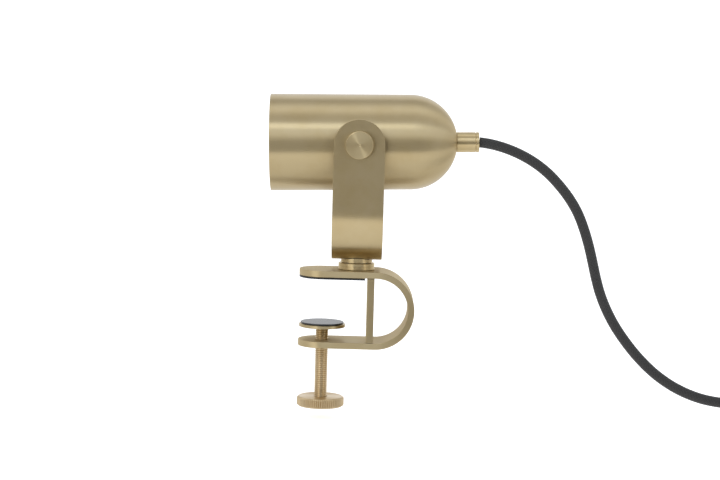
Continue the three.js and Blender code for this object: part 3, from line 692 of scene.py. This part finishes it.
def thread_solid(radius, low, high, pitch, bore_r, bore_depth):
    """A right-hand screw thread about Z, on a grid that follows the helix, with a bore in its top end."""
    columns, steps = 32, 8
    depth = 0.32 * pitch
    flank, flat_root, lead_in_depth = 0.3, 0.92, 0.55
    bm = bmesh.new()

    def vertex(column, row):
        height = low + (row / steps + column / columns - 1) * pitch
        z = min(max(height, low), high)
        turns = (z - low) / pitch - column / columns
        share = turns - math.floor(turns + 1e-9)
        cut_in = max(0, 1 - abs(share - 0.5) / flank)
        lead_in = min(1, (z - low) / pitch, (high - z) / pitch)
        r = radius - depth * max(min(cut_in, flat_root), lead_in_depth * (1 - lead_in))
        angle = 2 * math.pi * column / columns
        return bm.verts.new((r * math.cos(angle), r * math.sin(angle), z))

    rows = math.ceil(((high - low) / pitch + 2) * steps)
    grid = [[vertex(column, row) for row in range(rows + 1)] for column in range(columns)]
    # A full turn on, the first column is met one pitch higher.
    grid.append(grid[0][steps:] + [grid[0][-1]] * steps)
    for left, right in zip(grid, grid[1:]):
        for row in range(rows):
            corners = list(dict.fromkeys([left[row], right[row], right[row + 1], left[row + 1]]))
            if len(corners) > 2:
                bm.faces.new(corners)
    bottom = [column[0] for column in grid[:-1]]
    bm.faces.new(bottom[::-1])
    tops = [column[-1] for column in grid[:-1]]
    for r, z in ((bore_r, high), (bore_r, high - bore_depth)):
        ring = ring_at(bm, z, [r] * columns)
        skin(bm, tops, ring)
        tops = ring
    bm.faces.new(tops)
    return bm


def knurled_knob(low, high, radius, bore, knurls=66, points=8):
    """A disc with a bore, with fine straight knurls round its edge."""
    bm = bmesh.new()
    chamfer, groove_depth = 0.75, 0.5
    half = [
        # radius, distance in from the nearer face, depth of the grooves
        (bore, 0, 0), (radius - chamfer - 0.3, 0, 0), (radius - 0.1, chamfer, 0.42),
        (radius, chamfer + 0.25, groove_depth),
    ]
    levels = [(r, low + z, depth) for r, z, depth in half]
    levels += [(r, high - z, depth) for r, z, depth in reversed(half)]
    grooves = [(1 - abs(math.sin(math.pi * i / points))) ** 1.5 for i in range(knurls * points)]
    rings = [ring_at(bm, z, [r - depth * groove for groove in grooves]) for r, z, depth in levels]
    for lower, upper in zip(rings, [*rings[1:], rings[0]]):
        skin(bm, lower, upper)
    return bm


def make_screw(looks):
    low, high = box("clamp_spindle")
    bore, bore_depth = RIVET_R + GAP, 8
    spindle = thread_solid(high[0], low[2], high[2], PITCH, bore, bore_depth)
    piece("spindle", spindle, looks["screw_bronze"], "clamp_spindle")
    low, high = box("clamp_knob")
    knob = knurled_knob(low[2], high[2], high[0], SPINDLE_R + GAP)
    piece("knob", knob, looks["screw_bronze"], "clamp_knob")
    low, high = box("pressure_disc")
    sunk_r = 4.3
    disc = [(bore, low[2]), (high[0], low[2]), (high[0], high[2]), (sunk_r, high[2]), (bore, high[2] - 1)]
    piece("disc", lathe(fillet(disc, 0.35)), looks["spun_brass"], "pressure_disc")
    low, high = box("disc_rivet")
    foot, head, head_r = low[2], high[2], 3.6
    rivet = [(0, foot), (RIVET_R, foot), (RIVET_R, head - 0.9), (head_r, head), (0, head)]
    piece("rivet", lathe(fillet(rivet, 0.15), 48), looks["spun_brass"], "disc_rivet")
    low, high = box("pressure_pad")
    pad = [(0, low[2]), (high[0], low[2]), (high[0], high[2]), (0, high[2])]
    piece("disc_pad", lathe(fillet(pad, 0.25)), looks["rubber"], "pressure_pad")


# ---- swivel ----
def hexagon_slab(across_flats, low, high):
    corner = across_flats / math.sqrt(3)
    outline = [(corner * math.cos(a), corner * math.sin(a)) for a in np.radians(range(0, 360, 60))]
    return slab(outline, low, high)


def make_swivel(looks):
    metal = looks["turned_brass"]
    low, high = box("swivel_collar")
    r, bore = high[0] - SWIVEL_X, BOLT_R + GAP
    bottom, top = low[2], high[2]
    recess, recess_depth = 8.3, 1.1
    groove, groove_half, groove_depth = (bottom + top) / 2, 0.16, 0.2
    outline = [
        (bore, bottom), (r, bottom), (r, groove - groove_half), (r - groove_depth, groove),
        (r, groove + groove_half), (r, top), (recess, top), (recess, top - recess_depth),
        (bore, top - recess_depth),
    ]
    piece("collar", lathe(fillet(outline, 0.3)), metal, "swivel_collar", place=SWIVEL)
    low, high = box("swivel_boss")
    r = high[0] - SWIVEL_X
    outline = [(bore, low[2]), (r, low[2]), (r, high[2] + 1), (bore, high[2] + 1)]
    bend = drill(BRACKET_OUTER_R + GAP, segments=160)
    moved(bend, shift(z=BRACKET_LOW[2] + BRACKET_OUTER_R) @ ALONG_X)
    boss = cut(lathe(fillet(outline, 0.3)), bend)
    piece("boss", boss, metal, "swivel_boss", place=SWIVEL)
    low, high = box("swivel_bolt")
    foot, end = low[2], high[2]
    head_r, cone = 5.8, 2.85
    bolt = [(0, foot), (head_r, foot), (BOLT_R, foot + cone), (BOLT_R, end), (0, end)]
    socket = hexagon_slab(4, foot - 1, foot + 2)
    bolt = cut(lathe(fillet(bolt, 0.3), 48), socket)
    piece("countersunk_bolt", bolt, looks["steel"], "swivel_bolt", place=SWIVEL)


# ---- head ----
def make_shade(look):
    inner = DOME_R - SHADE_WALL
    bore = GLAND_THREAD_R + GAP
    lip = 0.3
    nut_seat = 8
    outline = [
        *arc_points((MOUTH_R - SHADE_WALL + lip, MOUTH_U + lip), lip, 180, 270, 4),
        *arc_points((MOUTH_R - lip, MOUTH_U + lip), lip, 270, 360, 4),
        *arc_points((0, DOME_U), DOME_R, 0, math.degrees(math.acos(GLAND_R / DOME_R)), 40),
        (bore, DOME_U + math.sqrt(DOME_R**2 - GLAND_R**2)),
        (bore, DOME_U + math.sqrt(inner**2 - nut_seat**2)),
        *arc_points((0, DOME_U), inner, math.degrees(math.acos(nut_seat / inner)), 0, 28),
    ]
    pivot_hole = moved(drill(PIVOT_SHANK_R + GAP), TO_FRONT)
    piece("shade_shell", cut(lathe(outline, 128), pivot_hole), look, "shade", place=HEAD @ ALONG_X)


def make_pivots(looks):
    inner_end, head_r = 20.9, 8.4
    under = BRACKET_OUTER_R + GAP
    top = under + 2.9
    centre_mark = [(0.9, top), (0.35, top - 0.25), (0, top - 0.25)]
    screw = [
        (0, inner_end), (PIVOT_SHANK_R, inner_end), (PIVOT_SHANK_R, under), (head_r, under),
        (head_r, top), *centre_mark,
    ]
    for side, facing in (("front", TO_FRONT), ("back", TO_BACK)):
        name = f"pivot_screw_{side}"
        turned = lathe(fillet(screw, 0.35))
        piece(f"pivot_head_{side}", turned, looks["turned_brass"], name, place=HEAD @ facing)


def make_gland(looks):
    start, end = GLAND_U
    inside = DOME_U + DOME_R - SHADE_WALL - 5
    bore = CORD_R + GAP
    groove, groove_r = end - 2.1, GLAND_R - 0.3
    outline = [
        (bore, inside), (GLAND_THREAD_R, inside), (GLAND_THREAD_R, start), (GLAND_R, start),
        (GLAND_R, groove - 0.3), (groove_r, groove - 0.2), (groove_r, groove + 0.2),
        (GLAND_R, groove + 0.3), (GLAND_R, end), (bore, end),
    ]
    middle = (start + end) / 2
    grub_r = 1.5
    tapped = moved(drill(grub_r + GAP, 0, REACH), shift(z=middle) @ ALONG_X)
    body = cut(lathe(fillet(outline, 0.3)), tapped)
    piece("gland", body, looks["turned_brass"], "cord_gland", place=HEAD @ ALONG_X)
    tip, face = CORD_R + 0.4, GLAND_R - 0.2
    grub = lathe(fillet([(0, tip), (grub_r, tip), (grub_r, face), (0, face)], 0.2), 40)
    socket = hexagon_slab(1.5, GLAND_R - 1.4, GLAND_R)
    facing_down = HEAD @ at(middle) @ turn("X", 180)
    piece("grub_screw", cut(grub, socket), looks["steel"], "grip_screw", place=facing_down)


def make_bulb(looks):
    front, neck, radius = BULB_FRONT_U, BULB_NECK_U, BULB_R
    wall = 1.4
    outside = [
        (radius - wall, front + 3), (radius, front + 3), (radius, front + 7), (23.6, front + 13),
        (20.4, front + 20), (15.6, front + 27), (12, neck - GAP), (0, neck - GAP),
    ]
    inside = [
        (0, neck - 2), (10.5, neck - 2), (14.2, front + 26), (19, front + 19), (22.2, front + 12),
        (radius - wall, front + 7),
    ]
    cone = lathe(fillet(outside + inside, 5, 5))
    turned = HEAD @ ALONG_X
    piece("reflector", cone, looks["bulb_mirror"], "bulb_reflector", place=turned)
    back = front + 2.7
    lens = [
        (0, front), (20, front + 0.3), (radius - 0.5, front + 1.2), (radius, back),
        (17, back), (16.5, back - 0.5), (12, back - 0.5), (11.5, back), (0, back),
    ]
    piece("lens", lathe(fillet(lens, 0.3), 96), looks["bulb_glass"], "bulb_lens", place=turned)
    base = lathe(fillet([(0, neck), (12, neck), (11.5, -3), (10, 0), (0, 0)], 0.8), 64)
    pin = fillet([(0, 0.05), (1.5, 0.05), (1.5, 4.5), (2.5, 4.5), (2.5, 6.5), (0, 6.5)], 0.2)
    pins = [moved(lathe(pin, 32), shift(y=y)) for y in (-PIN_SPREAD, PIN_SPREAD)]
    piece("bulb_foot", joined(base, *pins), looks["ceramic"], "bulb_base", place=turned)


# ---- switch, plug and cord tie ----
def shell(size, corner, low, high, edge, round_top, steps=6):
    """Half a moulded case, rounded over at its outer face and stepped in a little at the seam."""
    rings = []
    for k in range(steps + 1):
        angle = math.pi / 2 * k / steps
        inset, rise = edge * (1 - math.cos(angle)), edge * math.sin(angle)
        z = high - edge + rise if round_top else low + edge - rise
        outline = rounded_rectangle(size[0] - 2 * inset, size[1] - 2 * inset, corner - inset, 10)
        rings.append([(x, y, z) for x, y in outline])
    seam_inset = 0.35
    seam = low if round_top else high
    into = 1 if round_top else -1
    whole = rounded_rectangle(size[0], size[1], corner, 10)
    tucked = rounded_rectangle(size[0] - 2 * seam_inset, size[1] - 2 * seam_inset, corner - seam_inset, 10)
    first = [[(x, y, seam) for x, y in tucked], [(x, y, seam + into * seam_inset) for x, y in whole]]
    return loft([*first, *rings])


def block(low, high):
    outline = [(low[0], low[1]), (high[0], low[1]), (high[0], high[1]), (low[0], high[1])]
    return slab(outline, low[2], high[2])


def make_switch(look):
    length, width, half, seam = 60, 26, 9.5, GAP / 2
    corner, edge = 9, 2.2
    screw = (length / 2 - 4.6, width / 2 - 6.1)
    place = at(262, -10.1, FLOOR_Z + half) @ turn("Z", -12) @ at(length / 2)
    rocker_axis_z, pin_hole_r = 5.5, 1.3

    def hollows():
        cavity = slab(rounded_rectangle(length - 16, width - 6, 4), -6.5, 6.5)
        cord_way = moved(drill(CORD_R + GAP), ALONG_X)
        head_r, shank_r, step = 2.8, 1.6, -half + 2.6
        well = [(0, -half - 1), (head_r, -half - 1), (head_r, step), (shank_r, step), (shank_r, 6), (0, 6)]
        wells = [moved(lathe(well, 32), shift(x, y)) for x, y in (screw, (-screw[0], -screw[1]))]
        return [cavity, cord_way, *wells]

    lower = cut(shell((length, width), corner, -half, -seam, edge, False), *hollows())
    made = [piece("switch_base", soften(lower, 0.15), look, "switch_lower", place=place)]
    window = block((-9, -5.6, 2), (9, 5.6, half + 1))
    pin_hole = moved(drill(pin_hole_r, -7.9, 7.9), shift(z=rocker_axis_z) @ TO_FRONT)
    upper = cut(shell((length, width), corner, seam, half, edge, True), *hollows(), window, pin_hole)
    made.append(piece("switch_cover", soften(upper, 0.25), look, "switch_upper", place=place))
    side = [(-7.8, -1), (-2.2, -3.6), (2.2, -3.6), (7.8, -1), (7.8, 5.6), (0, 4.6), (-7.8, 5.6)]
    key = moved(slab(fillet(side, 0.9, 4), -5.2, 5.2), TO_FRONT)
    ends = (-6.2, -5.2, -4.2, 4.2, 5.2, 6.2)
    marks = [block((x - 0.25, -3.4, 5.2), (x + 0.25, 3.4, 7.9)) for x in ends]
    key = soften(cut(key, moved(drill(pin_hole_r), TO_FRONT), *marks), 0.2)
    rocker_place = place @ at(z=rocker_axis_z) @ turn("Y", 8)
    made.append(piece("rocker", key, look, "switch_rocker", place=rocker_place))
    return made


def make_plug(looks):
    half, middle = 7, 42
    side = [(18, 5), (26, 12), (33, 17.6), (58, 17.6), (60, 15.6)]
    outline = [(x, -y) for x, y in side] + side[::-1]
    rounded = fillet(outline, 3, 6)
    crown = [(4.5, 0), (5.7, 0.35), (6.6, 1.1), (half, 2.2)]
    rings = []
    for z, inset in [(-z, inset) for z, inset in reversed(crown)] + crown:
        long, wide = 1 - inset / 21, 1 - inset / 17.6
        rings.append([(middle + (x - middle) * long, y * wide, z) for x, y in rounded])
    relief_r, ribs, spacing, rib = 4.4, 6, 2.8, 0.9
    relief = [(0, GAP), (relief_r, GAP)]
    for k in range(ribs):
        start = 1.8 + spacing * k
        r = relief_r + 0.08 * start
        relief += [(r, start), (r - rib, start + 0.4), (r - rib, start + 1.1), (r, start + 1.5)]
    relief += [(5.6, 20), (5.6, 24), (0, 24)]
    sleeve = moved(lathe(fillet(relief, 0.2, 2), 48), ALONG_X)
    dimple_r = 0.9
    dimples = [
        moved(drill(dimple_r, -1, 1, 16), shift(x, y, side_z))
        for side_z in (-half, half) for x in (38, 42, 46, 50) for y in (-9, -3, 3, 9)
    ]
    heading = at(*PLUG_START, PLUG_Z) @ turn("Z", PLUG_TURN)
    whole = cut(cut(loft(rings), sleeve, operation="UNION"), *dimples)
    made = [piece("plug", whole, looks["black_plastic"], "plug_body", place=heading)]
    pin_start, pin_end, pin_r = 60.3, 79.3, 2
    for name, y in (("left", 9.3), ("right", -9.3)):
        pin = fillet([(0, pin_start), (pin_r, pin_start), (pin_r, pin_end), (0, pin_end)], 0.9, 5)
        prong_place = heading @ at(y=y) @ ALONG_X
        prong = lathe(pin, 40)
        metal = looks["plug_metal"]
        made.append(piece(f"prong_{name}", prong, metal, f"plug_pin_{name}", place=prong_place))
    return made


def make_tie(look):
    low, high = box("coil_tie")
    size, middle = high - low, (low + high) / 2
    wall = 1.1
    outer = rounded_rectangle(size[0], size[2], 3)
    inner = rounded_rectangle(size[0] - 2 * wall, size[2] - 2 * wall, 2)
    half = size[1] / 2
    loop = ((inner, half), (outer, half), (outer, -half), (inner, -half))
    rings = [[(x, y, z) for x, z in outline] for outline, y in loop]
    bm = bmesh.new()
    made = [[bm.verts.new(point) for point in ring] for ring in rings]
    for one, other in zip(made, [*made[1:], made[0]]):
        skin(bm, one, other)
    return piece("tie", soften(bm, 0.3), look, "coil_tie", place=at(*middle))


# ---- studio ----
def plane(name, low, high, z, look):
    mesh = bpy.data.meshes.new(name)
    corners = [(low[0], low[1], z), (high[0], low[1], z), (high[0], high[1], z), (low[0], high[1], z)]
    mesh.from_pydata(corners, [], [(0, 1, 2, 3)])
    mesh.materials.append(look)
    obj = bpy.data.objects.new(name, mesh)
    bpy.context.scene.collection.objects.link(obj)
    return obj


def make_floor():
    look = Look("pale floor", Roughness=0.9, Emission_Strength=0.6, Emission_Color=(1, 1, 1, 1))
    speck = look.noise(look.place(), 3, 2)
    look.drive("Base Color", look.mix(speck, (0.86, 0.86, 0.85, 1), (0.88, 0.88, 0.87, 1)))
    far = 6
    knob_drop = -JOINTS["clamp_travel"]["range_m"][0] / MM
    z = (FLOOR_Z - knob_drop - 0.2) * MM
    floor = plane("floor", (-far, -far), (far, far), z, look.material)
    floor.visible_glossy = False


STRIPS = [
    # angle from the front horizon, up over the top to the back, brightness, and how cool its white is
    (-180, 0.8, 0), (-140, 0.74, 0), (-122, 0.76, 0), (-108, 0.8, 0), (-97, 0.72, 0), (-88, 0.72, 0),
    (-80, 0.8, 0), (-60, 0.84, 0), (-35, 0.86, 0), (-22.5, 0.84, 0), (-21, 0.14, 0), (7, 0.16, 0),
    (13, 0.45, 0.02), (22, 0.84, 0.05), (30, 0.88, 0.08), (38, 0.76, 0.09), (44, 0.56, 0.08),
    (52, 0.6, 0.05), (60, 0.59, 0.02), (68, 0.5, 0), (76, 0.62, 0), (87, 0.94, 0.02), (99, 0.93, 0.03),
    (111, 0.6, 0.02), (124, 0.42, 0), (136, 0.78, 0.03), (180, 0.8, 0.01),
]
PANELS = [
    # middle of an upright panel in front, from straight ahead towards +X, half its width, and brightness
    (-40, 17, 1.0), (57, 9, 1.0),
]


def make_world():
    """A white studio with strips along X and upright panels. The camera itself sees plain white."""
    world = bpy.data.worlds.new("studio")
    bpy.context.scene.world = world
    world.use_nodes = True
    tree = world.node_tree
    nodes, link = tree.nodes, tree.links.new
    place = nodes.new("ShaderNodeTexCoord")
    split = nodes.new("ShaderNodeSeparateXYZ")
    link(place.outputs["Generated"], split.inputs[0])

    def calculate(operation, a, b=0.0):
        made = nodes.new("ShaderNodeMath")
        made.operation = operation
        for socket, value in zip(made.inputs, (a, b)):
            if isinstance(value, bpy.types.NodeSocket):
                link(value, socket)
            else:
                socket.default_value = value
        return made.outputs[0]

    def mix(share, colour, grey):
        made = nodes.new("ShaderNodeMix")
        made.data_type = "RGBA"
        link(share, made.inputs["Factor"])
        link(colour, made.inputs["A"])
        made.inputs["B"].default_value = (grey, grey, grey, 1)
        return next(o for o in made.outputs if o.type == "RGBA")

    front = calculate("MULTIPLY", split.outputs["Y"], -1.0)
    angle = calculate("ARCTAN2", split.outputs["Z"], front)
    share = calculate("ADD", calculate("MULTIPLY", angle, 1 / (2 * math.pi)), 0.5)
    ramp = nodes.new("ShaderNodeValToRGB")
    stops = ramp.color_ramp.elements
    while len(stops) < len(STRIPS):
        stops.new(0.5)
    for stop, (degrees, value, cool) in zip(stops, STRIPS):
        stop.position = (degrees + 180) / 360
        stop.color = (value * (1 - cool), value, value * (1 + 2 * cool), 1)
    link(share, ramp.inputs["Fac"])
    end_on = calculate("POWER", calculate("ABSOLUTE", split.outputs["X"]), 4.0)
    side_brightness = 0.6
    colour = mix(end_on, ramp.outputs["Color"], side_brightness)
    azimuth = calculate("ARCTAN2", split.outputs["X"], front)
    low_enough = calculate("LESS_THAN", calculate("ABSOLUTE", split.outputs["Z"]), 0.6)
    for degrees, half_width, brightness in PANELS:
        off = calculate("ABSOLUTE", calculate("SUBTRACT", azimuth, math.radians(degrees)))
        inside = calculate("LESS_THAN", off, math.radians(half_width))
        colour = mix(calculate("MULTIPLY", inside, low_enough), colour, brightness)
    seen = nodes.new("ShaderNodeLightPath").outputs["Is Camera Ray"]
    link(mix(seen, colour, 1), nodes["Background"].inputs["Color"])
    nodes["Background"].inputs["Strength"].default_value = 1.25


def soft_light(name, place, aim, width, height, power, colour=(1, 1, 1)):
    lamp = bpy.data.lights.new(name, "AREA")
    lamp.shape = "RECTANGLE"
    lamp.size, lamp.size_y = width, height
    lamp.energy = power
    lamp.color = colour
    obj = bpy.data.objects.new(name, lamp)
    bpy.context.scene.collection.objects.link(obj)
    obj.location = place
    obj.rotation_euler = (Vector(aim) - Vector(place)).to_track_quat("-Z", "Y").to_euler()


def make_lights():
    middle = (0.02, 0, 0.05)
    soft_light("key", (-0.55, -0.95, 0.98), middle, 0.45, 0.3, 2.2, (0.86, 0.92, 1))


# ---- build ----
bpy.context.scene.view_settings.view_transform = "Standard"
make_camera()
LOOKS = make_looks()
make_floor()
make_world()
make_lights()
on_cord = [*make_switch(LOOKS["black_plastic"]), *make_plug(LOOKS), make_tie(LOOKS["tie_rubber"])]
inside_switch = ("rocker_pin", "switch_contact", "switch_screw_front", "switch_screw_back")
on_cord += [frame["nodes"][node] for node in inside_switch]
make_cord(LOOKS)
make_strap(LOOKS["brushed_brass"])
make_bracket(LOOKS["brushed_brass"])
make_clamp_parts(LOOKS)
make_screw(LOOKS)
make_swivel(LOOKS)
make_shade(LOOKS["spun_brass"])
make_pivots(LOOKS)
make_gland(LOOKS)
make_bulb(LOOKS)
for node, obj in frame["nodes"].items():
    if not obj.hide_render:
        obj.data.materials.clear()
        obj.data.materials.append(LOOKS[SLOT_OF[node]])
        bevel = obj.modifiers.new("soft edges", "BEVEL")
        bevel.width = 0.25 * MM
        bevel.segments = 2
